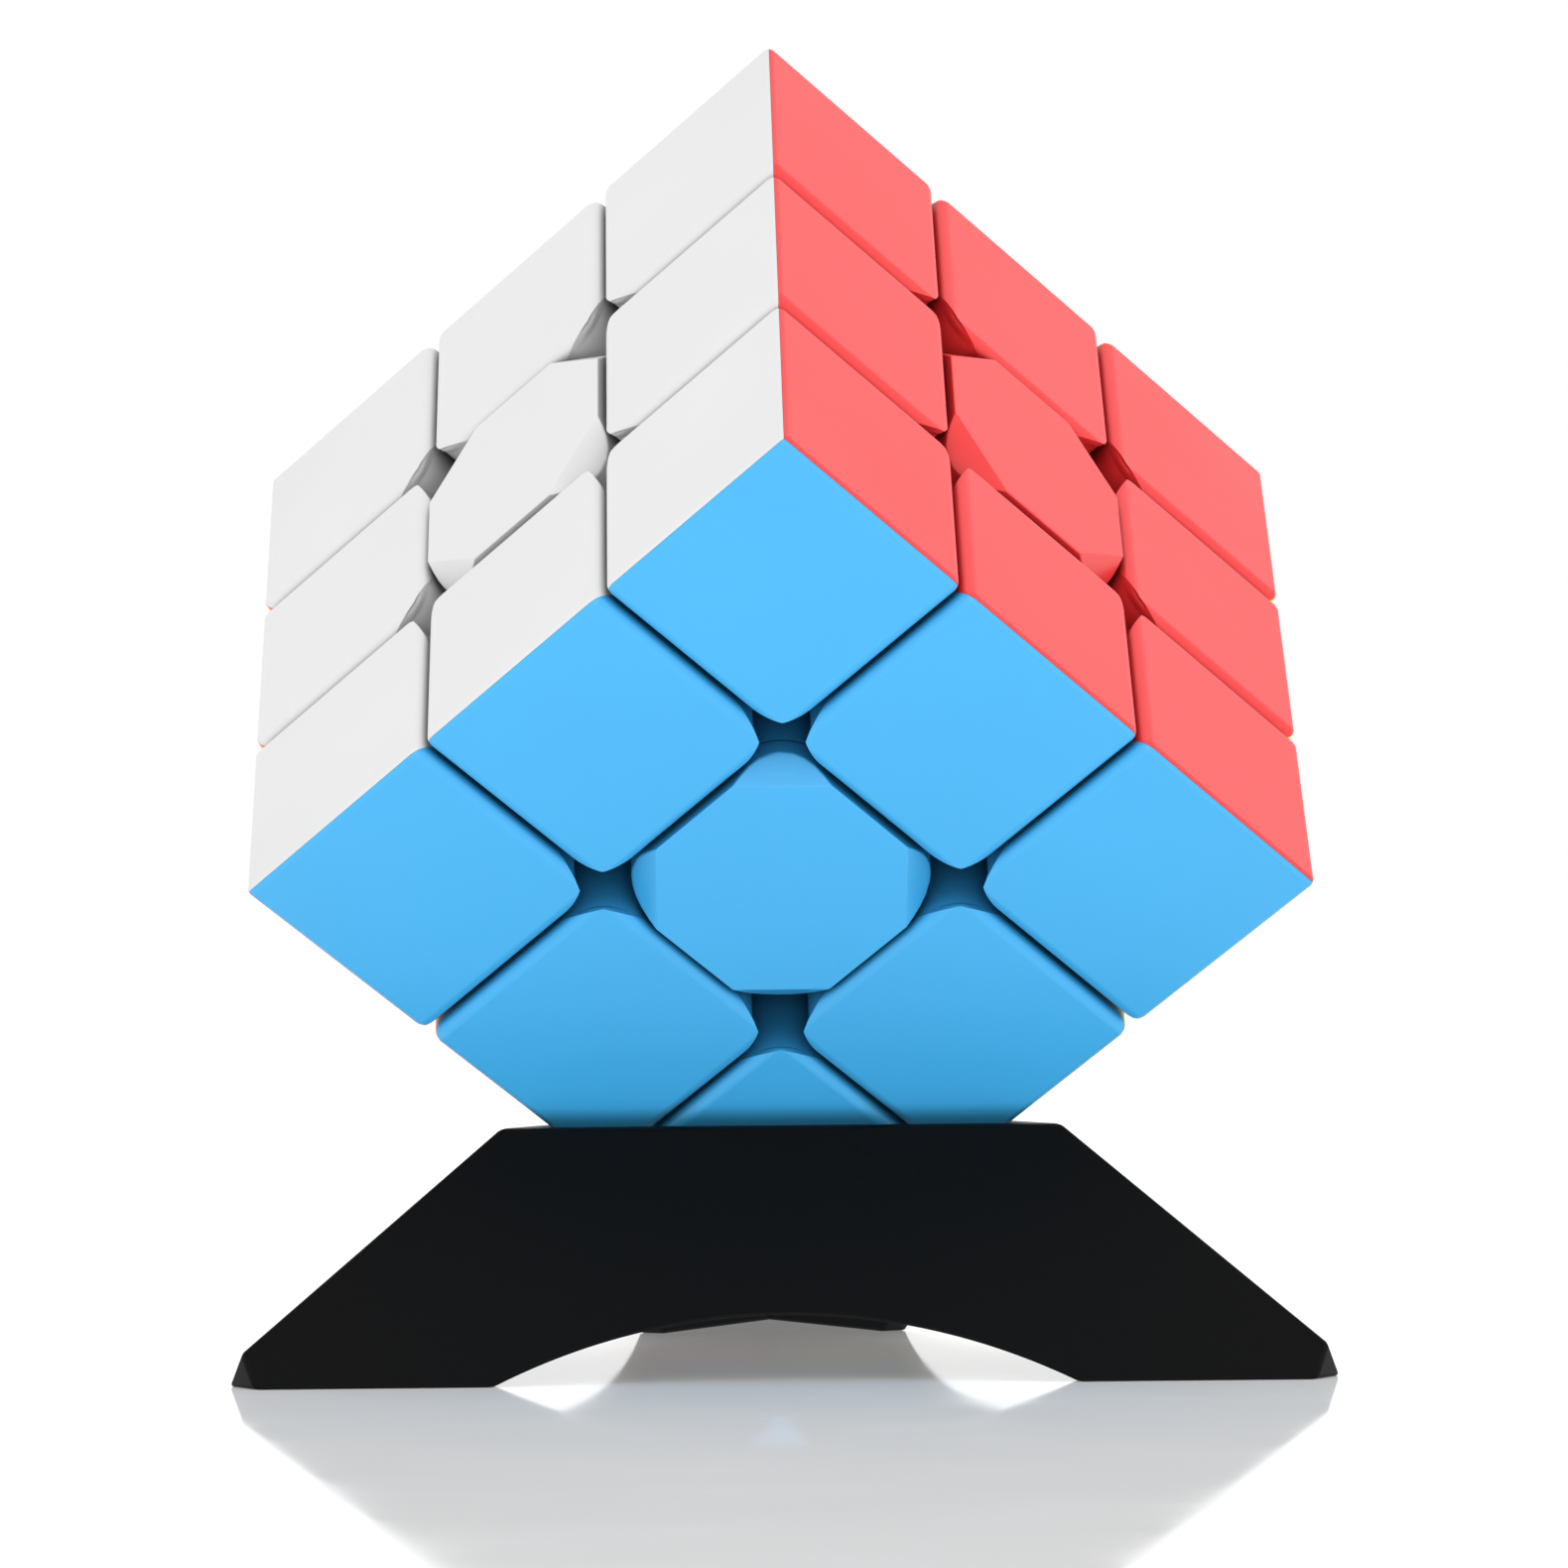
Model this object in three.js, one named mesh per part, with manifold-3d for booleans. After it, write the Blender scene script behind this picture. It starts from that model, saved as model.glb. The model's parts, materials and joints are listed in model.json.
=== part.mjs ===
// A stickerless 3x3x3 twisty puzzle cube with its whole turning mechanism.
//
// A six-armed core holds six screws. Each screw's spring presses a centre base towards the
// core. The feet of twelve edges run under the centre bases, and the feet of eight corners run
// under the edges. Every surface between one layer and the rest of the cube is a surface of
// revolution about that layer's axis, so any face can turn.
//
// Each piece is made once, in the cube's own axes, and then copied to its places:
// +X red, -X orange, +Y white, -Y yellow, +Z blue, -Z green.
// The finished group stands the cube on a corner, with its body diagonal upright, and the
// origin is that lowest corner.
import * as THREE from "three";
import { mergeVertices } from "three/addons/utils/BufferGeometryUtils.js";
import Module from "manifold-3d";

const wasm = await Module();
wasm.setup();

// Driving dimensions, in millimetres.
const CUBE = 56;
const GAP = 0.4;
const WALL = 2;
const TILE_CORNER_RADIUS = 4.4;
const STAR_HOLE_DEPTH = 7;

// The spherical mechanism inside, in millimetres from the cube's centre.
const FOOT_INNER_RADIUS = 15.2;
const FOOT_OUTER_RADIUS = 18.7;
const BITE_RADIUS = 19.6;
const CONE_ANGLE = THREE.MathUtils.degToRad(68);
const CONE_SHIFT = 0.27;

// The stack on each core arm, as heights from the cube's centre.
const HUB_RADIUS = 6.4;
const ARM_RADIUS = 3.1;
const ARM_END = 10.5;
const SCREW_HOLE_RADIUS = 1.7;
const SCREW_HOLE_BOTTOM = 5.2;
const STALK_RADIUS = 5.2;
const STALK_BOTTOM = 10.8;
const FLOOR_THICKNESS = 2;
const SPRING_WELL_RADIUS = 3.8;
const SPRING_RADIUS = 2.55;
const SPRING_WIRE_RADIUS = 0.3;
const SPRING_TURNS = 4;
const SPRING_LENGTH = 6.2;
const SCREW_SHANK_RADIUS = 1.4;
const SCREW_HEAD_RADIUS = 3.3;
const SCREW_HEAD_HEIGHT = 1.6;
const SCREW_SLOT_WIDTH = 0.9;
const SCREW_SLOT_DEPTH = 0.9;
const SEAT_CLEARANCE = 0.3;

// The centre cap and the pocket that it clips into.
const CAP_THICKNESS = 3.3;
const CAP_CHAMFER = 3.6;
const SKIRT_OUTER_RADIUS = 6.3;
const SKIRT_INNER_RADIUS = 5.2;
const SKIRT_DEPTH = 2.5;

// The peg that holds an edge's foot in its shell, and the hole through a corner's foot.
const PEG_RADIUS = 2;
const PEG_END = 24;
const EDGE_HOLLOW_START = 15.4;
const CORNER_HOLLOW_START = 12.6;
const VENT_RADIUS = 1.2;

// How finely round shapes are faceted.
const ROUND_STEPS = 12;
const CONE_STEPS = 24;
const FILLET_STEPS = 3;
const SPHERE_DETAIL = 3;

// Worked out from the driving dimensions.
const HALF = CUBE / 2;
const CUT = CUBE / 6;
const INSIDE = CUT - GAP / 2;
const OUTSIDE = CUT + GAP / 2;
const HOLE_FLOOR = HALF - STAR_HOLE_DEPTH;
const CAP_BOTTOM = HALF - CAP_THICKNESS;
const BASE_TOP = CAP_BOTTOM - SEAT_CLEARANCE;
const POCKET_BOTTOM = CAP_BOTTOM - SKIRT_DEPTH - SEAT_CLEARANCE;
const SPRING_BOTTOM = STALK_BOTTOM + FLOOR_THICKNESS + SEAT_CLEARANCE;
const HEAD_BOTTOM = SPRING_BOTTOM + SPRING_LENGTH + SEAT_CLEARANCE;
const SCREW_TIP = SCREW_HOLE_BOTTOM + SEAT_CLEARANCE;
const REACH = 60;

const X = new THREE.Vector3(1, 0, 0);
const Y = new THREE.Vector3(0, 1, 0);
const Z = new THREE.Vector3(0, 0, 1);

// Turns a closed three.js geometry into a solid that can be cut and joined.
function solid(geometry) {
  const bare = geometry.index ? geometry : geometry.clone();
  bare.deleteAttribute("normal");
  bare.deleteAttribute("uv");
  const merged = mergeVertices(bare, 1e-4);
  return new wasm.Manifold(
    new wasm.Mesh({
      numProp: 3,
      vertProperties: merged.attributes.position.array,
      triVerts: new Uint32Array(merged.index.array),
    }),
  );
}

// Turns a solid back into a three.js geometry.
function geometryOf(shape) {
  const mesh = shape.getMesh();
  const geometry = new THREE.BufferGeometry();
  geometry.setAttribute("position", new THREE.BufferAttribute(mesh.vertProperties, 3));
  geometry.setIndex(new THREE.BufferAttribute(mesh.triVerts, 1));
  geometry.computeVertexNormals();
  return geometry;
}

function box(low, high) {
  const size = new THREE.Vector3().subVectors(high, low);
  const middle = new THREE.Vector3().addVectors(low, high).multiplyScalar(0.5);
  const geometry = new THREE.BoxGeometry(size.x, size.y, size.z);
  return solid(geometry.translate(middle.x, middle.y, middle.z));
}

function sphere(radius) {
  return solid(new THREE.IcosahedronGeometry(radius, SPHERE_DETAIL));
}

// A cylinder along a direction, from one distance from the centre to another.
function cylinder(direction, radius, start, end, steps = ROUND_STEPS) {
  const geometry = new THREE.CylinderGeometry(radius, radius, end - start, steps);
  geometry.translate(0, (start + end) / 2, 0);
  const turn = new THREE.Quaternion().setFromUnitVectors(Y, direction);
  return solid(geometry.applyQuaternion(turn));
}

// The solid cone around a direction that holds a layer's share of the spherical mechanism.
// A positive shift shrinks it, for the layer's own pieces, and a negative one widens it.
function cone(direction, shift) {
  const rim = new THREE.Vector2(REACH * Math.sin(CONE_ANGLE), REACH * Math.cos(CONE_ANGLE));
  const profile = [new THREE.Vector2(0, 0), rim, new THREE.Vector2(0, rim.y)];
  const geometry = new THREE.LatheGeometry(profile, CONE_STEPS);
  geometry.translate(0, shift, 0);
  const turn = new THREE.Quaternion().setFromUnitVectors(Y, direction);
  return solid(geometry.applyQuaternion(turn));
}

// What has to be cut off an upright edge at (x, y) to round it, from HOLE_FLOOR outwards.
// The piece lies on the side of the edge that the signs point to.
function filletCutter(x, y, signX, signY) {
  const radius = TILE_CORNER_RADIUS;
  const over = 0.5;
  const outline = new THREE.Shape();
  outline.moveTo(-over, -over);
  outline.lineTo(radius, -over);
  outline.lineTo(radius, 0);
  outline.absarc(radius, radius, radius, -Math.PI / 2, -Math.PI, true);
  outline.lineTo(-over, radius);
  const geometry = new THREE.ExtrudeGeometry(outline, {
    depth: STAR_HOLE_DEPTH + 1,
    bevelEnabled: false,
    curveSegments: FILLET_STEPS,
  });
  const quarterTurns = signX > 0 ? (signY > 0 ? 0 : 3) : signY > 0 ? 1 : 2;
  geometry.rotateZ((quarterTurns * Math.PI) / 2);
  geometry.translate(x, y, HOLE_FLOOR);
  return solid(geometry);
}

function cutAll(shape, cutters) {
  return cutters.reduce((left, cutter) => left.subtract(cutter), shape);
}

// Copies a solid to other axes: its X, Y and Z go to the three directions given.
function reoriented(shape, toX, toY, toZ) {
  return solid(geometryOf(shape).applyMatrix4(new THREE.Matrix4().makeBasis(toX, toY, toZ)));
}

const footShell = sphere(FOOT_OUTER_RADIUS).subtract(sphere(FOOT_INNER_RADIUS));
const bite = sphere(BITE_RADIUS);

// The core: a round hub with six bored arms.
function coreSolid() {
  const directions = [X, Y, Z].flatMap((axis) => [axis, axis.clone().negate()]);
  let core = sphere(HUB_RADIUS);
  for (const direction of directions) {
    core = core.add(cylinder(direction, ARM_RADIUS, 1, ARM_END));
  }
  const bores = directions.map((direction) =>
    cylinder(direction, SCREW_HOLE_RADIUS, SCREW_HOLE_BOTTOM, ARM_END + 1),
  );
  return cutAll(core, bores);
}

// The blue-side screw, pointing inwards, with a cross slot in its head.
function screwSolid() {
  const headTop = HEAD_BOTTOM + SCREW_HEAD_HEIGHT;
  const shank = cylinder(Z, SCREW_SHANK_RADIUS, SCREW_TIP, HEAD_BOTTOM + 0.5);
  const head = cylinder(Z, SCREW_HEAD_RADIUS, HEAD_BOTTOM, headTop);
  const reach = SCREW_HEAD_RADIUS * 0.6;
  const half = SCREW_SLOT_WIDTH / 2;
  const bottom = headTop - SCREW_SLOT_DEPTH;
  const slots = [
    box(new THREE.Vector3(-reach, -half, bottom), new THREE.Vector3(reach, half, headTop + 1)),
    box(new THREE.Vector3(-half, -reach, bottom), new THREE.Vector3(half, reach, headTop + 1)),
  ];
  return cutAll(shank.add(head), slots);
}

// The helix that the spring's wire follows.
class Helix extends THREE.Curve {
  getPoint(t, target = new THREE.Vector3()) {
    const angle = t * SPRING_TURNS * 2 * Math.PI;
    const rise = t * (SPRING_LENGTH - 2 * SPRING_WIRE_RADIUS);
    return target.set(
      SPRING_RADIUS * Math.cos(angle),
      SPRING_RADIUS * Math.sin(angle),
      SPRING_BOTTOM + SPRING_WIRE_RADIUS + rise,
    );
  }
}

function springSolid() {
  const sides = 4;
  const section = new THREE.Shape();
  for (let i = 0; i < sides; i++) {
    const angle = (i / sides) * 2 * Math.PI;
    const x = SPRING_WIRE_RADIUS * Math.cos(angle);
    const y = SPRING_WIRE_RADIUS * Math.sin(angle);
    if (i === 0) section.moveTo(x, y);
    else section.lineTo(x, y);
  }
  const stepsPerTurn = 8;
  const geometry = new THREE.ExtrudeGeometry(section, {
    steps: Math.round(SPRING_TURNS * stepsPerTurn),
    extrudePath: new Helix(),
    bevelEnabled: false,
  });
  return solid(geometry);
}

// The blue centre's base: a block on a hollow stalk, with a well for the spring.
function centreBaseSolid() {
  const low = new THREE.Vector3(-INSIDE, -INSIDE, OUTSIDE);
  const high = new THREE.Vector3(INSIDE, INSIDE, BASE_TOP);
  const fillets = [];
  for (const sx of [-1, 1]) {
    for (const sy of [-1, 1]) {
      fillets.push(filletCutter(sx * INSIDE, sy * INSIDE, -sx, -sy));
    }
  }
  const block = cutAll(box(low, high).subtract(bite), fillets);
  const stalk = cylinder(Z, STALK_RADIUS, STALK_BOTTOM, BASE_TOP - 1);
  return cutAll(block.add(stalk), [
    cylinder(Z, SCREW_HOLE_RADIUS + 0.1, STALK_BOTTOM - 1, HALF),
    cylinder(Z, SPRING_WELL_RADIUS, STALK_BOTTOM + FLOOR_THICKNESS, HALF),
    cylinder(Z, SKIRT_OUTER_RADIUS + SEAT_CLEARANCE, POCKET_BOTTOM, HALF),
  ]);
}

// The blue centre's cap: a tile with four sloping corners and a round skirt below.
function centreCapSolid() {
  const low = new THREE.Vector3(-INSIDE, -INSIDE, CAP_BOTTOM);
  const high = new THREE.Vector3(INSIDE, INSIDE, HALF);
  const cutters = [];
  const slope = Math.SQRT1_2;
  const plane = (INSIDE * Math.SQRT2 - CAP_CHAMFER) * slope + HALF * slope;
  for (const sx of [-1, 1]) {
    for (const sy of [-1, 1]) {
      cutters.push(filletCutter(sx * INSIDE, sy * INSIDE, -sx, -sy));
      const away = new THREE.Vector3(sx * slope, sy * slope, 1).normalize();
      const block = new THREE.BoxGeometry(CUBE, CUBE, CUBE);
      block.translate(0, 0, HALF);
      block.applyQuaternion(new THREE.Quaternion().setFromUnitVectors(Z, away));
      const shift = away.multiplyScalar(plane);
      cutters.push(solid(block.translate(shift.x, shift.y, shift.z)));
    }
  }
  const skirtBottom = CAP_BOTTOM - SKIRT_DEPTH;
  const skirt = cylinder(Z, SKIRT_OUTER_RADIUS, skirtBottom, CAP_BOTTOM + 0.5);
  const inside = cylinder(Z, SKIRT_INNER_RADIUS, skirtBottom - 1, CAP_BOTTOM);
  return cutAll(box(low, high), cutters).add(skirt).subtract(inside);
}

const sideAxes = [X, X.clone().negate()];
const edgeOut = new THREE.Vector3(0, 1, 1).normalize();
const cornerOut = new THREE.Vector3(1, 1, 1).normalize();

// The white-blue edge's hollow shell, open where the foot's peg goes in.
function edgeShellSolid() {
  const low = new THREE.Vector3(-INSIDE, OUTSIDE, OUTSIDE);
  const high = new THREE.Vector3(INSIDE, HALF, HALF);
  const fillets = [-1, 1].map((sx) => filletCutter(sx * INSIDE, OUTSIDE, -sx, 1));
  const sideFillets = fillets.map((cutter) => reoriented(cutter, X.clone().negate(), Z, Y));
  const hollow = box(
    new THREE.Vector3(WALL - INSIDE, EDGE_HOLLOW_START, EDGE_HOLLOW_START),
    high.clone().subScalar(WALL),
  );
  return cutAll(box(low, high), [
    bite,
    ...fillets,
    ...sideFillets,
    hollow,
    cylinder(edgeOut, PEG_RADIUS + SEAT_CLEARANCE, FOOT_INNER_RADIUS, PEG_END + 1, 12),
  ]);
}

// The same edge's foot, whose wings run under both centres, with its peg.
function edgeFootSolid() {
  const sides = sideAxes.map((axis) => cone(axis, -CONE_SHIFT));
  const ownCones = cone(Y, CONE_SHIFT).intersect(cone(Z, CONE_SHIFT));
  const wings = footShell.intersect(ownCones);
  const low = new THREE.Vector3(-INSIDE, OUTSIDE, OUTSIDE);
  const high = new THREE.Vector3(INSIDE, HALF, HALF);
  const neckBall = sphere(BITE_RADIUS - SEAT_CLEARANCE).subtract(sphere(FOOT_INNER_RADIUS));
  const neck = box(low, high).intersect(neckBall);
  const peg = cylinder(edgeOut, PEG_RADIUS, (FOOT_INNER_RADIUS + BITE_RADIUS) / 2, PEG_END, 12);
  return cutAll(wings.add(neck), sides).add(peg);
}

// The red-white-blue corner: a hollow shell and its foot in one piece.
function cornerSolid() {
  const low = new THREE.Vector3(OUTSIDE, OUTSIDE, OUTSIDE);
  const high = new THREE.Vector3(HALF, HALF, HALF);
  const fillet = filletCutter(OUTSIDE, OUTSIDE, 1, 1);
  const start = CORNER_HOLLOW_START;
  const hollow = box(new THREE.Vector3(start, start, start), high.clone().subScalar(WALL));
  const shell = cutAll(box(low, high), [
    fillet,
    reoriented(fillet, Y, Z, X),
    reoriented(fillet, Z, X, Y),
  ]);
  const foot = [X, Y, Z].reduce(
    (left, axis) => left.intersect(cone(axis, CONE_SHIFT)),
    footShell,
  );
  return cutAll(shell.subtract(sphere(FOOT_INNER_RADIUS)).add(foot), [
    hollow,
    cylinder(cornerOut, VENT_RADIUS, FOOT_INNER_RADIUS - 3, PEG_END, 10),
  ]);
}

// Faces, their directions and the colours of their plastic.
const FACES = {
  red: { out: X, colour: 0xf8585c },
  orange: { out: X.clone().negate(), colour: 0xff8a1e },
  white: { out: Y, colour: 0xf2f2f2 },
  yellow: { out: Y.clone().negate(), colour: 0xf6e02c },
  blue: { out: Z, colour: 0x45b4f2 },
  green: { out: Z.clone().negate(), colour: 0x35c46a },
};

const steel = new THREE.MeshStandardMaterial({ color: 0xb9bcc0, roughness: 0.3, metalness: 1 });
const innerPlastic = new THREE.MeshStandardMaterial({ color: 0xe4e6e8, roughness: 0.45 });

function facePlastic(face) {
  return new THREE.MeshStandardMaterial({ color: FACES[face].colour, roughness: 0.35 });
}

const cube = new THREE.Group();

// Puts one named copy of a piece in the cube, with its X, Y and Z along three directions.
function place(name, geometry, material, toX, toY, toZ) {
  const mesh = new THREE.Mesh(geometry, material);
  mesh.name = name;
  mesh.applyMatrix4(new THREE.Matrix4().makeBasis(toX, toY, toZ));
  cube.add(mesh);
}

// Any direction square to another one, and the third that completes the axes.
function sideways(out) {
  const first = Math.abs(out.x) > 0.5 ? Y : X;
  return [first, new THREE.Vector3().crossVectors(out, first)];
}

const perCentre = [
  ["centre_cap", geometryOf(centreCapSolid()), null],
  ["centre_base", geometryOf(centreBaseSolid()), null],
  ["tension_spring", geometryOf(springSolid()), steel],
  ["tension_screw", geometryOf(screwSolid()), steel],
];
const edgeShell = geometryOf(edgeShellSolid());
const edgeFoot = geometryOf(edgeFootSolid());
const corner = geometryOf(cornerSolid());

place("core", geometryOf(coreSolid()), innerPlastic, X, Y, Z);

for (const [face, { out }] of Object.entries(FACES)) {
  const [toX, toY] = sideways(out);
  for (const [kind, geometry, material] of perCentre) {
    place(`${kind}_${face}`, geometry, material ?? facePlastic(face), toX, toY, out);
  }
}

// An edge's Y and Z run to its two faces, and a corner's X, Y and Z to its three.
const redAxis = ["red", "orange"];
const whiteAxis = ["white", "yellow"];
const blueAxis = ["blue", "green"];
for (const [firstPair, secondPair] of [
  [whiteAxis, blueAxis],
  [blueAxis, redAxis],
  [redAxis, whiteAxis],
]) {
  for (const first of firstPair) {
    for (const second of secondPair) {
      const toY = FACES[first].out;
      const toZ = FACES[second].out;
      const toX = new THREE.Vector3().crossVectors(toY, toZ);
      const name = `edge_${first}_${second}`;
      place(`${name}_shell`, edgeShell, facePlastic(first), toX, toY, toZ);
      place(`${name}_foot`, edgeFoot, innerPlastic, toX, toY, toZ);
    }
  }
}

for (const red of redAxis) {
  for (const white of whiteAxis) {
    for (const blue of blueAxis) {
      const [a, b, c] = [red, white, blue].map((face) => FACES[face].out);
      const rightHanded = new THREE.Vector3().crossVectors(a, b).dot(c) > 0;
      const axes = rightHanded ? [a, b, c] : [b, a, c];
      place(`corner_${red}_${white}_${blue}`, corner, facePlastic(red), ...axes);
    }
  }
}

// Stand the cube on its orange-yellow-blue corner, with the red-white-green corner on top
// and the blue face towards -Y.
const up = new THREE.Vector3(1, 1, -1).normalize();
const back = new THREE.Vector3(-1, -1, -2).normalize();
const right = new THREE.Vector3().crossVectors(back, up);
const standing = new THREE.Matrix4().makeBasis(right, back, up).transpose();
cube.applyMatrix4(standing);
cube.position.z = HALF * Math.sqrt(3);

export default cube;
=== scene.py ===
"""The looks of a stickerless twisty puzzle cube standing on one corner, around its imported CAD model.

Each piece is modelled once in the cube's own axes, in metres from the cube's centre, and then
copied to its places. The display stand and the floor are only staging and aren't part of the cube.
"""

import json
import math

import bmesh
import bpy
from mathutils import Matrix, Vector

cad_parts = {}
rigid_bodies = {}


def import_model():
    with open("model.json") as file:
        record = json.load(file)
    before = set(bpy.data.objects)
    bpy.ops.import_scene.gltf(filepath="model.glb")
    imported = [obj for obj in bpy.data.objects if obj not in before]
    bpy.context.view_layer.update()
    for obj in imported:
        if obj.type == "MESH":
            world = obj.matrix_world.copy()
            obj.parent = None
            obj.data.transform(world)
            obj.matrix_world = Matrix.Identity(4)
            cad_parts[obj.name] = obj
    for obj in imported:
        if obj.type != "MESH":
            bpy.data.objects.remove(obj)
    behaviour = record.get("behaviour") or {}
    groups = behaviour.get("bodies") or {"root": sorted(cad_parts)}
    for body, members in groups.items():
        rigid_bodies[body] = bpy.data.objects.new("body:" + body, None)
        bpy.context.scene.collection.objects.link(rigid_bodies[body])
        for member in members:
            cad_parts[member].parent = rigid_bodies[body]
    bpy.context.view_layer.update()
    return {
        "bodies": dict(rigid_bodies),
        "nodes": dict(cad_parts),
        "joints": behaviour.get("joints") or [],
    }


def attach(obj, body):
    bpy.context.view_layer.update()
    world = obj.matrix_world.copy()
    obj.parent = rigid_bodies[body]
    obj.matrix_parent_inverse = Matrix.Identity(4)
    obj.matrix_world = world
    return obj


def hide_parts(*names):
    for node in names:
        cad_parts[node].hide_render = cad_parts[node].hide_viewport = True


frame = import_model()

MM = 0.001

# The cube, in metres.
CUBE = 56 * MM
GAP = 0.4 * MM
HALF = CUBE / 2
CUT = CUBE / 6
INSIDE = CUT - GAP / 2
OUTSIDE = CUT + GAP / 2
TILE_CORNER_RADIUS = 4.4 * MM
TILE_EDGE_RADIUS = 1.0 * MM
CUBE_EDGE_RADIUS = 0.6 * MM
SEAM = 0.012 * MM

# How finely round shapes are divided, and the distance at which two places count as one.
ROUND_SEGMENTS = 8
FINE_SEGMENTS = 4
SPHERE_SUBDIVISIONS = 6
LATHE_STEPS = 48
CONE_SEGMENTS = 96
ARCH_SEGMENTS = 360
SAME_PLACE = 1e-6

# The round mechanism inside.
BITE_RADIUS = 19.6 * MM
FOOT_OUTER_RADIUS = 18.7 * MM
FOOT_INNER_RADIUS = 15.2 * MM
CONE_ANGLE = math.radians(68)
CONE_SHIFT = 0.3 * MM
STALK_RADIUS = 5.2 * MM
STALK_BOTTOM = 10.8 * MM
STALK_BORE_RADIUS = 3.8 * MM
STALK_FLOOR = 2.0 * MM
STALK_CHAMFER = 0.4 * MM
STALK_SCREW_HOLE_RADIUS = 1.8 * MM
STALK_TOP_DEPTH = 1 * MM
NECK_REACH = HALF / 2 + 2 * MM
NECK_OVERLAP = 0.5 * MM

# The centre cap.
CAP_BOTTOM = HALF - 3.3 * MM
CAP_FACET = 3.65 * MM
CAP_EDGE_RADIUS = 0.7 * MM
CAP_BEVEL_ANGLE = 28
CAP_SEAM = 0.25 * MM

# The springs, which are wound between a centre's floor and its screw's head.
SPRING_BOTTOM = 13.1 * MM
SPRING_LENGTH = 6.2 * MM
SPRING_RADIUS = 2.55 * MM
SPRING_WIRE_RADIUS = 0.3 * MM
SPRING_TURNS = 4
SPRING_POINTS_PER_TURN = 24
SPRING_WIRE_RESOLUTION = 4

# The staged display stand: three leaning panels with an arch in each, and cut-off leg tips.
STAND_FLOOR = -4.1 * MM
STAND_HEIGHT = 18.5 * MM
STAND_TOP_INRADIUS = 12.24 * MM
STAND_BASE_INRADIUS = 25.0 * MM
STAND_WALL = 2.5 * MM
STAND_LEG_REACH = 46.3 * MM
STAND_EDGE_RADIUS = 0.7 * MM
STAND_BEVEL_ANGLE = 25
STAND_FLAT_ANGLE = 0.3
STAND_OVERCUT = 4 * MM
ARCH_HEIGHT = 4.9 * MM
ARCH_RADIUS = 50.0 * MM
ARCH_SETBACK = HALF + 2 * MM
SEAT_CLEARANCE = 0.3 * MM
SEAT_TIP_RADIUS = 1e-6

# The staged floor, and the light, with places in metres from the cube's centre.
FLOOR_REACH = 3
FLOOR_COLOUR = (0.95, 0.95, 0.95)
FLOOR_IOR = 1.22
FLOOR_GLOW = 0.2
WORLD_STRENGTH = 1.0
LOW_FRONT_LIGHT = {"place": (0.0, -0.42, -0.02), "size": 0.18, "power": 0.25}
RIGHT_LIGHT = {"place": (0.8, -0.35, 0.3), "size": 0.5, "power": 0.3}

# The camera, from the cube's centre, with its small turn, tilt and roll in degrees.
CAMERA_OFFSET = Vector((-10.8, -590.0, -9.2)) * MM
CAMERA_TURN = -1.115
CAMERA_TILT = 0.08
CAMERA_ROLL = -0.488
CAMERA_VIEW_ANGLE = 11.65
CAMERA_CLIP_START = 0.01

# The plastic: its faint clouds, its grain, and the shade painted into its colour where little light
# reaches.
PLASTIC_IOR = 1.5
COAT_ROUGHNESS = 0.25
CLOUD_SCALE = 60
CLOUD_DETAIL = 4
CLOUD_RAMP = (0.3, 0.7)
CLOUD_SHADE = 0.965
GLOSS_SWING = 0.05
GRAIN_SCALE = 3500
GRAIN_DETAIL = 2
GRAIN_STRENGTH = 0.25
# How far the painted shade looks for nearby surfaces, the span of openness over which it fades, and
# the dark colour it mixes in, as a share of the colour.
PAINTED_SHADE_REACH = 5 * MM
PAINTED_SHADE_OPENNESS = (0.05, 0.75)
PAINTED_SHADE_DARKEST = 0.06
METAL_GRAIN = 0.008 * MM
STAND_SPECULAR = 0.08

FACE_AXES = {
    "red": ("red", 1),
    "orange": ("red", -1),
    "white": ("white", 1),
    "yellow": ("white", -1),
    "blue": ("blue", 1),
    "green": ("blue", -1),
}
FACE_COLOURS = {
    "red": (0.97, 0.04, 0.042),
    "orange": (1.0, 0.245, 0.022),
    "white": (0.815, 0.815, 0.82),
    "yellow": (0.95, 0.76, 0.03),
    "blue": (0.055, 0.47, 0.90),
    "green": (0.03, 0.52, 0.15),
}
INNER_COLOUR = (0.60, 0.61, 0.63)
CORE_COLOUR = (0.70, 0.71, 0.72)
SCREW_COLOUR = (0.56, 0.57, 0.58)
SPRING_COLOUR = (0.46, 0.47, 0.49)
STAND_COLOUR = (0.003, 0.003, 0.003)

joints = {joint["name"]: joint for joint in frame["joints"]}
centre = Vector(joints["red_face_turn"]["pos_m"])


def face_out(face):
    """The direction that a face looks, at rest."""
    axis, sign = FACE_AXES[face]
    return Vector(joints[f"{axis}_face_turn"]["axis"]).normalized() * sign


def placing(first, second, third):
    """Takes a piece's own X, Y and Z to three directions, around the cube's centre."""
    turn = Matrix((first, second, third)).transposed().to_4x4()
    return Matrix.Translation(centre) @ turn


def placing_towards(out, *others):
    """Takes a piece's own Z to out, and its X and Y to two other directions in a turning order."""
    first, second = others
    if first.cross(second).dot(out) < 0:
        first, second = second, first
    return placing(first, second, out)


# Mesh making


def new_mesh(name, bm):
    bmesh.ops.recalc_face_normals(bm, faces=bm.faces)
    mesh = bpy.data.meshes.new(name)
    bm.to_mesh(mesh)
    bm.free()
    return mesh


def new_object(name, mesh):
    made = bpy.data.objects.new(name, mesh)
    bpy.context.scene.collection.objects.link(made)
    return made


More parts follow.
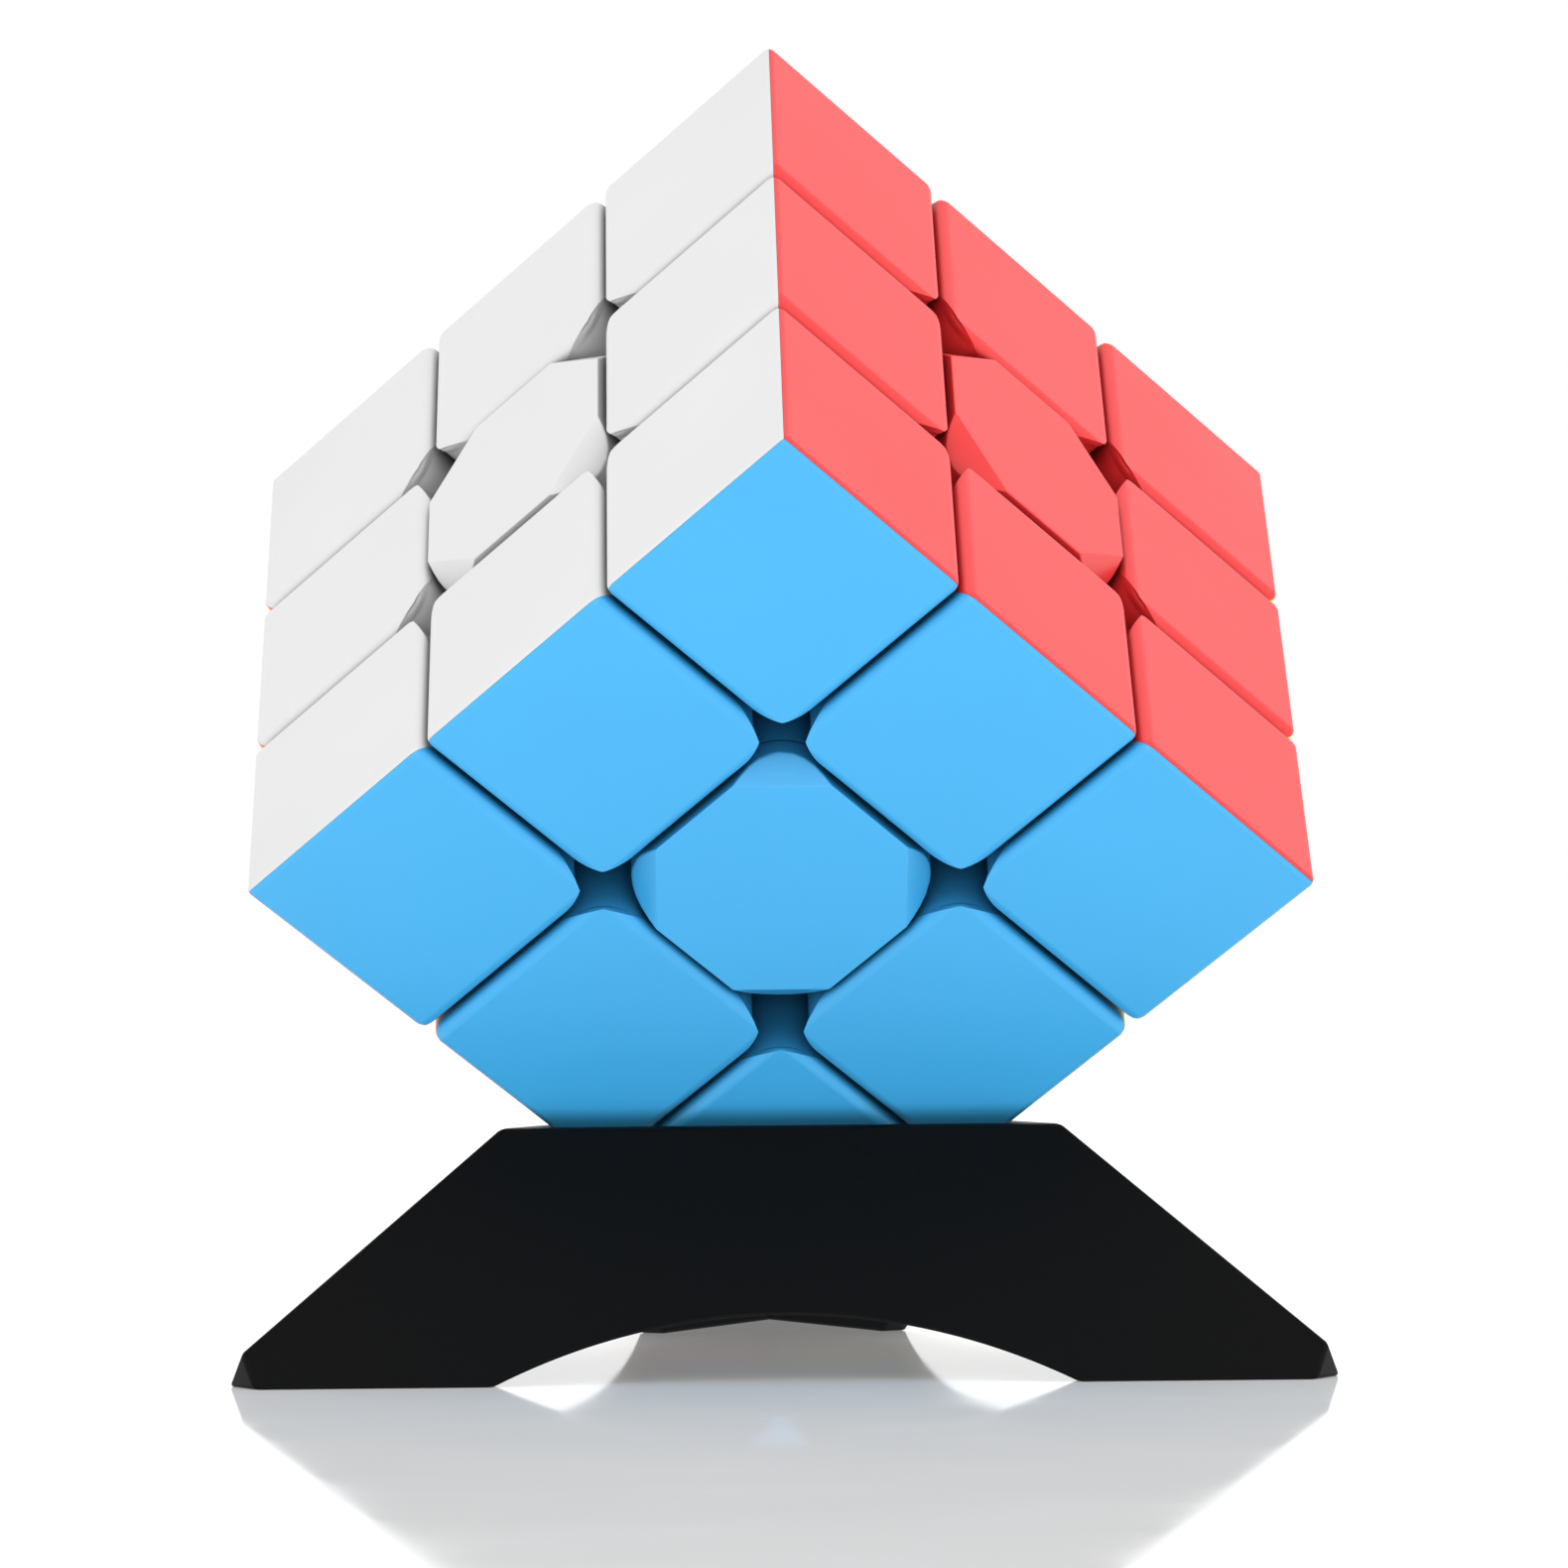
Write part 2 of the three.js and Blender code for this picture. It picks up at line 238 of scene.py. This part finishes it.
def evaluated(holder, name):
    """The mesh that an object's modifiers give. The object itself is removed."""
    bpy.context.view_layer.update()
    depsgraph = bpy.context.evaluated_depsgraph_get()
    mesh = bpy.data.meshes.new_from_object(holder.evaluated_get(depsgraph))
    mesh.name = name
    bpy.data.objects.remove(holder)
    return mesh


def boolean(mesh, cutter, operation="DIFFERENCE"):
    """The mesh with another one cut away, joined on or kept in common."""
    holder = new_object("holder", mesh)
    tool = new_object("tool", cutter)
    modifier = holder.modifiers.new("boolean", "BOOLEAN")
    modifier.operation = operation
    modifier.solver = "EXACT"
    modifier.object = tool
    made = evaluated(holder, mesh.name)
    bpy.data.objects.remove(tool)
    return made


def box_mesh(low, high, radius_of=None):
    """A box. radius_of(corner, other corner) gives the radius of the edge between two corners."""
    bm = bmesh.new()
    size = Vector(high) - Vector(low)
    middle = (Vector(high) + Vector(low)) / 2
    bmesh.ops.create_cube(bm, size=1, matrix=Matrix.Translation(middle) @ Matrix.Diagonal((*size, 1)))
    if radius_of is None:
        return new_mesh("box", bm)
    weights = bm.edges.layers.float.new("bevel_weight_edge")
    for edge in bm.edges:
        a, b = (vertex.co for vertex in edge.verts)
        edge[weights] = radius_of(a, b) / TILE_CORNER_RADIUS
    holder = new_object("holder", new_mesh("rounded_box", bm))
    bevel = holder.modifiers.new("bevel", "BEVEL")
    bevel.limit_method = "WEIGHT"
    bevel.width = TILE_CORNER_RADIUS
    bevel.segments = ROUND_SEGMENTS
    bevel.use_clamp_overlap = False
    return evaluated(holder, "rounded_box")


def sphere_mesh(radius):
    bm = bmesh.new()
    bmesh.ops.create_icosphere(bm, subdivisions=SPHERE_SUBDIVISIONS, radius=radius)
    return new_mesh("sphere", bm)


def lathe_mesh(profile):
    """A solid of revolution about Z from (radius, height) points that close on themselves."""
    bm = bmesh.new()
    points = [bm.verts.new((radius, 0, height)) for radius, height in profile]
    edges = [bm.edges.new((a, b)) for a, b in zip(points, points[1:] + points[:1])]
    bmesh.ops.spin(
        bm,
        geom=points + edges,
        cent=(0, 0, 0),
        axis=(0, 0, 1),
        angle=2 * math.pi,
        steps=LATHE_STEPS,
        use_merge=True,
    )
    bmesh.ops.remove_doubles(bm, verts=bm.verts, dist=1e-7)
    return new_mesh("lathed", bm)


def cone_mesh(direction, shift):
    """The cone around a direction that holds a layer's share of the round mechanism."""
    bm = bmesh.new()
    reach = 2 * CUBE
    height = reach * math.cos(CONE_ANGLE)
    width = reach * math.sin(CONE_ANGLE)
    lift = Matrix.Translation((0, 0, height / 2 + shift))
    turn = Vector((0, 0, -1)).rotation_difference(-direction).to_matrix().to_4x4()
    bmesh.ops.create_cone(
        bm,
        cap_ends=True,
        segments=CONE_SEGMENTS,
        radius1=0,
        radius2=width,
        depth=height,
        matrix=turn @ lift,
    )
    return new_mesh("cone", bm)


def split_off(mesh, normal, offset=0.0):
    """Keeps the side of a plane through the cube's centre that its normal points to, closed."""
    bm = bmesh.new()
    bm.from_mesh(mesh)
    normal = Vector(normal).normalized()
    geometry = list(bm.verts) + list(bm.edges) + list(bm.faces)
    made = bmesh.ops.bisect_plane(
        bm, geom=geometry, plane_co=normal * offset, plane_no=normal, clear_inner=True, dist=1e-8
    )
    rim = [item for item in made["geom_cut"] if isinstance(item, bmesh.types.BMEdge)]
    bmesh.ops.triangle_fill(bm, use_beauty=True, edges=rim)
    return new_mesh(mesh.name, bm)


def bevelled(mesh, name, width, angle):
    """The mesh with its edges rounded wherever they bend by more than an angle in degrees."""
    holder = new_object("holder", mesh)
    bevel = holder.modifiers.new("bevel", "BEVEL")
    bevel.limit_method = "ANGLE"
    bevel.angle_limit = math.radians(angle)
    bevel.width = width
    bevel.segments = FINE_SEGMENTS
    return evaluated(holder, name)


def finished(mesh, name, smooth_angle=32):
    """Smooth shading that keeps true edges sharp, with normals weighted towards the flat faces."""
    mesh.shade_smooth()
    mesh.set_sharp_from_angle(angle=math.radians(smooth_angle))
    holder = new_object("holder", mesh)
    weighted = holder.modifiers.new("weighted", "WEIGHTED_NORMAL")
    weighted.keep_sharp = True
    return evaluated(holder, name)


# The cube's pieces, each in the cube's own axes


def on(value, target):
    return abs(value - target) < SAME_PLACE


def corner_edge_radius(a, b):
    """The corner's edges are tightest on the cube's outside and roundest next to the holes."""
    outer = sum(on(a[i], HALF) and on(b[i], HALF) for i in range(3))
    return (TILE_CORNER_RADIUS, TILE_EDGE_RADIUS, CUBE_EDGE_RADIUS)[outer]


def edge_edge_radius(a, b):
    """An edge piece is sharp along its back, tight on its outside and roundest by the holes."""
    along = not on(a.x, b.x)
    outer = sum(on(a[i], HALF) and on(b[i], HALF) for i in (1, 2))
    if along:
        return (0.0, TILE_EDGE_RADIUS, CUBE_EDGE_RADIUS)[outer]
    return (TILE_CORNER_RADIUS, TILE_EDGE_RADIUS)[outer]


def corner_third():
    """The share of a corner that one colour covers, which is the same for all three."""
    low = (OUTSIDE, OUTSIDE, OUTSIDE)
    high = (HALF, HALF, HALF)
    shell = boolean(box_mesh(low, high, corner_edge_radius), sphere_mesh(BITE_RADIUS))
    third = split_off(split_off(shell, (-1, 0, 1), SEAM), (0, -1, 1), SEAM)
    return finished(third, "corner_third")


def edge_half():
    """The share of an edge that one colour covers."""
    low = (-INSIDE, OUTSIDE, OUTSIDE)
    high = (INSIDE, HALF, HALF)
    shell = boolean(box_mesh(low, high, edge_edge_radius), sphere_mesh(BITE_RADIUS))
    return finished(split_off(shell, (0, -1, 1), SEAM), "edge_half")


def corner_foot():
    """The curved foot of a corner, with the neck that joins it to the corner's shell."""
    foot = boolean(sphere_mesh(FOOT_OUTER_RADIUS), sphere_mesh(FOOT_INNER_RADIUS))
    for axis in (Vector((1, 0, 0)), Vector((0, 1, 0)), Vector((0, 0, 1))):
        foot = boolean(foot, cone_mesh(axis, CONE_SHIFT), "INTERSECT")
    neck = box_mesh((OUTSIDE,) * 3, (NECK_REACH,) * 3)
    neck = boolean(neck, sphere_mesh(BITE_RADIUS + NECK_OVERLAP), "INTERSECT")
    return finished(boolean(foot, neck, "UNION"), "corner_foot")


def upright_edge_radius(a, b):
    return TILE_CORNER_RADIUS if not on(a.z, b.z) else 0.0


def centre_cap():
    """The centre's tile: rounded at its corners, where four flat facets slope down."""
    low = (-INSIDE, -INSIDE, CAP_BOTTOM)
    high = (INSIDE, INSIDE, HALF)
    cap = box_mesh(low, high, upright_edge_radius)
    facet = (INSIDE * math.sqrt(2) - CAP_FACET + HALF) * math.sqrt(0.5)
    for x, y in ((1, 1), (1, -1), (-1, 1), (-1, -1)):
        cap = split_off(cap, (-x, -y, -math.sqrt(2)), -facet)
    cap = bevelled(cap, "centre_cap", CAP_EDGE_RADIUS, CAP_BEVEL_ANGLE)
    return finished(cap, "centre_cap")


def centre_base():
    """The block below the cap, on the hollow stalk that holds the spring."""
    low = (-INSIDE, -INSIDE, OUTSIDE)
    high = (INSIDE, INSIDE, CAP_BOTTOM - CAP_SEAM)
    block = boolean(box_mesh(low, high, upright_edge_radius), sphere_mesh(BITE_RADIUS))
    top = CAP_BOTTOM - STALK_TOP_DEPTH
    floor = STALK_BOTTOM + STALK_FLOOR
    stalk = lathe_mesh(
        [
            (STALK_SCREW_HOLE_RADIUS, STALK_BOTTOM),
            (STALK_RADIUS - STALK_CHAMFER, STALK_BOTTOM),
            (STALK_RADIUS, STALK_BOTTOM + STALK_CHAMFER),
            (STALK_RADIUS, top),
            (STALK_BORE_RADIUS, top),
            (STALK_BORE_RADIUS, floor),
            (STALK_SCREW_HOLE_RADIUS, floor),
        ]
    )
    bore = lathe_mesh(
        [(0, floor), (STALK_BORE_RADIUS, floor), (STALK_BORE_RADIUS, HALF), (0, HALF)]
    )
    return finished(boolean(boolean(block, stalk, "UNION"), bore), "centre_base")


def spring():
    """A spring's wire, as a round tube wound along a helix."""
    curve = bpy.data.curves.new("tension_spring", "CURVE")
    curve.dimensions = "3D"
    curve.bevel_depth = SPRING_WIRE_RADIUS
    curve.bevel_resolution = SPRING_WIRE_RESOLUTION
    curve.use_fill_caps = True
    count = SPRING_TURNS * SPRING_POINTS_PER_TURN + 1
    spline = curve.splines.new("POLY")
    spline.points.add(count - 1)
    for i, point in enumerate(spline.points):
        part = i / (count - 1)
        angle = part * SPRING_TURNS * 2 * math.pi
        rise = part * (SPRING_LENGTH - 2 * SPRING_WIRE_RADIUS)
        height = SPRING_BOTTOM + SPRING_WIRE_RADIUS + rise
        point.co = (SPRING_RADIUS * math.cos(angle), SPRING_RADIUS * math.sin(angle), height, 1)
    wire = evaluated(new_object("holder", curve), "tension_spring")
    return finished(wire, "tension_spring", smooth_angle=50)


# Materials


def plastic(name, colour, roughness=0.36, grain=0.02 * MM, coat=0.12, painted_shade_strength=0.9):
    """Moulded plastic: a fine satin grain, faint flow clouds and slightly uneven gloss.

    A painted shade darkens the colour in narrow gaps and holes, which little light reaches, by up to
    the share that the last argument gives.
    """
    material = bpy.data.materials.new(name)
    material.use_nodes = True
    nodes = material.node_tree.nodes
    links = material.node_tree.links
    shader = nodes["Principled BSDF"]
    shader.inputs["IOR"].default_value = PLASTIC_IOR
    shader.inputs["Coat Weight"].default_value = coat
    shader.inputs["Coat Roughness"].default_value = COAT_ROUGHNESS
    place = nodes.new("ShaderNodeTexCoord")

    clouds = nodes.new("ShaderNodeTexNoise")
    clouds.inputs["Scale"].default_value = CLOUD_SCALE
    clouds.inputs["Detail"].default_value = CLOUD_DETAIL
    links.new(place.outputs["Object"], clouds.inputs["Vector"])
    tint = nodes.new("ShaderNodeValToRGB")
    tint.color_ramp.elements[0].position = CLOUD_RAMP[0]
    tint.color_ramp.elements[1].position = CLOUD_RAMP[1]
    tint.color_ramp.elements[0].color = (*[CLOUD_SHADE * part for part in colour], 1)
    tint.color_ramp.elements[1].color = (*colour, 1)
    links.new(clouds.outputs["Fac"], tint.inputs["Fac"])
    # Painted shade: ambient occlusion mixes the colour towards a dark copy of itself in gaps, holes
    # and close corners.
    painted_shade_occlusion = nodes.new("ShaderNodeAmbientOcclusion")
    painted_shade_occlusion.inputs["Distance"].default_value = PAINTED_SHADE_REACH
    painted_shade_amount = nodes.new("ShaderNodeMapRange")
    painted_shade_amount.inputs["From Min"].default_value = PAINTED_SHADE_OPENNESS[0]
    painted_shade_amount.inputs["From Max"].default_value = PAINTED_SHADE_OPENNESS[1]
    painted_shade_amount.inputs["To Min"].default_value = painted_shade_strength
    painted_shade_amount.inputs["To Max"].default_value = 0.0
    links.new(painted_shade_occlusion.outputs["AO"], painted_shade_amount.inputs["Value"])
    painted_shade_mix = nodes.new("ShaderNodeMix")
    painted_shade_mix.data_type = "RGBA"
    links.new(painted_shade_amount.outputs["Result"], painted_shade_mix.inputs["Factor"])
    links.new(tint.outputs["Color"], painted_shade_mix.inputs["A"])
    painted_shade_mix.inputs["B"].default_value = (*[PAINTED_SHADE_DARKEST * part for part in colour], 1)
    links.new(painted_shade_mix.outputs["Result"], shader.inputs["Base Color"])

    gloss = nodes.new("ShaderNodeMapRange")
    gloss.inputs["To Min"].default_value = roughness - GLOSS_SWING
    gloss.inputs["To Max"].default_value = roughness + GLOSS_SWING
    links.new(clouds.outputs["Fac"], gloss.inputs["Value"])
    links.new(gloss.outputs["Result"], shader.inputs["Roughness"])

    speckle = nodes.new("ShaderNodeTexNoise")
    speckle.inputs["Scale"].default_value = GRAIN_SCALE
    speckle.inputs["Detail"].default_value = GRAIN_DETAIL
    links.new(place.outputs["Object"], speckle.inputs["Vector"])
    bump = nodes.new("ShaderNodeBump")
    bump.inputs["Strength"].default_value = GRAIN_STRENGTH
    bump.inputs["Distance"].default_value = grain
    links.new(speckle.outputs["Fac"], bump.inputs["Height"])
    links.new(bump.outputs["Normal"], shader.inputs["Normal"])
    return material


def metal(name, colour, roughness):
    """Steel, made like the plastic but metallic, with a finer grain and no coat."""
    material = plastic(name, colour, roughness, grain=METAL_GRAIN, coat=0.0)
    material.node_tree.nodes["Principled BSDF"].inputs["Metallic"].default_value = 1
    return material


face_plastics = {face: plastic(f"{face}_plastic", FACE_COLOURS[face]) for face in FACE_COLOURS}
inner_plastic = plastic("inner_plastic", INNER_COLOUR, roughness=0.45)
core_plastic = plastic("core_plastic", CORE_COLOUR, roughness=0.42)
screw_steel = metal("screw_steel", SCREW_COLOUR, roughness=0.28)
spring_steel = metal("spring_steel", SPRING_COLOUR, roughness=0.32)
stand_plastic = plastic("stand_plastic", STAND_COLOUR, roughness=0.42, grain=0.03 * MM, coat=0.0)
stand_shader = stand_plastic.node_tree.nodes["Principled BSDF"]
stand_shader.inputs["Specular IOR Level"].default_value = STAND_SPECULAR


# Putting the pieces in place


def add_piece(name, data, matrix, body, material, slot_name, *nodes):
    """Places a copy of a piece, which rides on a body and stands for its CAD nodes."""
    piece = new_object(name, data)
    if not piece.material_slots:
        data.materials.append(None)
    piece.material_slots[0].link = "OBJECT"
    piece.material_slots[0].material = material
    piece.matrix_world = matrix
    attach(piece, body)
    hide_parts(*nodes)
    return piece


def add_tile(name, data, face, matrix, body, node):
    return add_piece(name, data, matrix, body, face_plastics[face], f"{face}_plastic", node)


def build_centres():
    cap = centre_cap()
    base = centre_base()
    coil = spring()
    for face, (axis, _) in FACE_AXES.items():
        out = face_out(face)
        side = face_out("white" if axis == "red" else "red")
        matrix = placing(side, out.cross(side), out)
        body = f"centre_{face}"
        add_tile(f"centre_cap_{face}_tile", cap, face, matrix, body, f"centre_cap_{face}")
        add_tile(f"centre_base_{face}_block", base, face, matrix, body, f"centre_base_{face}")
        wire = f"tension_spring_{face}"
        add_piece(f"{wire}_wire", coil, matrix, "core", spring_steel, "spring_steel", wire)


def build_edges_and_corners():
    half = edge_half()
    third = corner_third()
    foot = corner_foot()
    for body in frame["bodies"]:
        kind, *faces = body.split("_")
        if kind == "edge":
            for face, other in (faces, faces[::-1]):
                out = face_out(face)
                beside = face_out(other)
                matrix = placing(beside.cross(out), beside, out)
                add_tile(f"{body}_{face}_half", half, face, matrix, body, f"{body}_shell")
        if kind == "corner":
            for face in faces:
                others = [face_out(other) for other in faces if other != face]
                matrix = placing_towards(face_out(face), *others)
                add_tile(f"{body}_{face}_third", third, face, matrix, body, body)
            matrix = placing_towards(*[face_out(face) for face in faces])
            slot_name = "inner_plastic"
            add_piece(f"{body}_foot", foot, matrix, body, inner_plastic, slot_name, body)


def dress_cad_nodes():
    """The CAD nodes that stay in view inside the cube get their own materials."""
    for name, node in frame["nodes"].items():
        if name == "core":
            material = core_plastic
        elif name.startswith("tension_screw"):
            material = screw_steel
        else:
            material = inner_plastic
        node.data.materials.clear()
        node.data.materials.append(material)


# Staging


def three_sided(low_inradius, high_inradius, low, high):
    """A solid with three leaning sides around Z, one of them towards -Y."""
    bm = bmesh.new()
    bmesh.ops.create_cone(
        bm,
        cap_ends=True,
        segments=3,
        radius1=2 * low_inradius,
        radius2=2 * high_inradius,
        depth=high - low,
        matrix=Matrix.Translation((0, 0, (low + high) / 2)),
    )
    highest = max(bm.verts, key=lambda vertex: vertex.co.xy.length).co
    turn = math.pi / 2 - math.atan2(highest.y, highest.x)
    bmesh.ops.rotate(bm, verts=bm.verts, matrix=Matrix.Rotation(turn, 3, "Z"))
    return new_mesh("three_sided", bm)


def arch_mesh(turn):
    """The round cutter that opens the arch below one side of the stand."""
    bm = bmesh.new()
    lie = Matrix.Rotation(math.pi / 2, 4, "X")
    lift = Matrix.Translation((0, -ARCH_SETBACK, ARCH_HEIGHT - ARCH_RADIUS))
    bmesh.ops.create_cone(
        bm,
        cap_ends=True,
        segments=ARCH_SEGMENTS,
        radius1=ARCH_RADIUS,
        radius2=ARCH_RADIUS,
        depth=CUBE,
        matrix=turn @ lift @ lie,
    )
    return new_mesh("arch", bm)


def stand_hollow():
    """The space between the stand's walls, open past its top and its base."""
    lean = (STAND_BASE_INRADIUS - STAND_TOP_INRADIUS) / STAND_HEIGHT
    high = STAND_HEIGHT + STAND_OVERCUT
    base = STAND_BASE_INRADIUS - STAND_WALL + lean * STAND_OVERCUT
    return three_sided(base, base - lean * (high + STAND_OVERCUT), -STAND_OVERCUT, high)


def stand_seat():
    """The space that the cube's lowest corner takes up, with its clearance."""
    high = STAND_HEIGHT + STAND_OVERCUT
    tip = -STAND_FLOOR - SEAT_CLEARANCE * math.sqrt(3)
    return three_sided(SEAT_TIP_RADIUS, (high - tip) * math.sqrt(0.5), tip, high)


def build_stand():
    stand = three_sided(STAND_BASE_INRADIUS, STAND_TOP_INRADIUS, 0, STAND_HEIGHT)
    stand = boolean(stand, stand_hollow())
    stand = boolean(stand, stand_seat())
    for third in range(3):
        turn = Matrix.Rotation(third * 2 * math.pi / 3, 4, "Z")
        stand = boolean(stand, arch_mesh(turn))
        tip = box_mesh((-HALF, STAND_LEG_REACH, -HALF), (HALF, STAND_LEG_REACH + HALF, HALF))
        tip.transform(turn)
        stand = boolean(stand, tip)
    bm = bmesh.new()
    bm.from_mesh(stand)
    bmesh.ops.remove_doubles(bm, verts=bm.verts, dist=SAME_PLACE)
    flat = math.radians(STAND_FLAT_ANGLE)
    bmesh.ops.dissolve_limit(bm, angle_limit=flat, verts=bm.verts, edges=bm.edges)
    stand = bevelled(new_mesh("stand", bm), "stand", STAND_EDGE_RADIUS, STAND_BEVEL_ANGLE)
    made = new_object("staged_stand", finished(stand, "stand", smooth_angle=40))
    made.data.materials.append(stand_plastic)
    made.location.z = STAND_FLOOR


def build_floor():
    bm = bmesh.new()
    bmesh.ops.create_grid(bm, x_segments=1, y_segments=1, size=FLOOR_REACH)
    floor = new_object("floor", new_mesh("floor", bm))
    floor.location.z = STAND_FLOOR
    # The floor takes the plastic's painted shade too, which darkens it beside the stand's walls.
    material = plastic("floor_gloss", FLOOR_COLOUR, roughness=0.06, grain=0, coat=0.0)
    shader = material.node_tree.nodes["Principled BSDF"]
    shader.inputs["IOR"].default_value = FLOOR_IOR
    shader.inputs["Emission Color"].default_value = (1, 1, 1, 1)
    shader.inputs["Emission Strength"].default_value = FLOOR_GLOW
    floor.data.materials.append(material)


def add_area_light(name, place, size, power):
    light = bpy.data.lights.new(name, "AREA")
    light.shape = "DISK"
    light.size = size
    light.energy = power
    lamp = new_object(name, light)
    lamp.location = centre + Vector(place)
    lamp.rotation_euler = (-Vector(place)).to_track_quat("-Z", "Y").to_euler()


def build_light():
    world = bpy.data.worlds.new("studio")
    world.use_nodes = True
    background = world.node_tree.nodes["Background"]
    background.inputs["Color"].default_value = (1, 1, 1, 1)
    background.inputs["Strength"].default_value = WORLD_STRENGTH
    bpy.context.scene.world = world
    add_area_light("low_front_light", **LOW_FRONT_LIGHT)
    add_area_light("right_light", **RIGHT_LIGHT)


def build_camera():
    data = bpy.data.cameras.new("camera")
    data.angle = math.radians(CAMERA_VIEW_ANGLE)
    data.clip_start = CAMERA_CLIP_START
    camera = new_object("camera", data)
    turn = Matrix.Rotation(math.radians(CAMERA_TURN), 4, "Z")
    tilt = Matrix.Rotation(math.radians(90 + CAMERA_TILT), 4, "X")
    roll = Matrix.Rotation(math.radians(CAMERA_ROLL), 4, "Z")
    camera.matrix_world = Matrix.Translation(centre + CAMERA_OFFSET) @ turn @ tilt @ roll
    bpy.context.scene.camera = camera


build_camera()
build_centres()
build_edges_and_corners()
dress_cad_nodes()
build_stand()
build_floor()
build_light()
bpy.context.scene.view_settings.view_transform = "Standard"

bpy.context.view_layer.update()
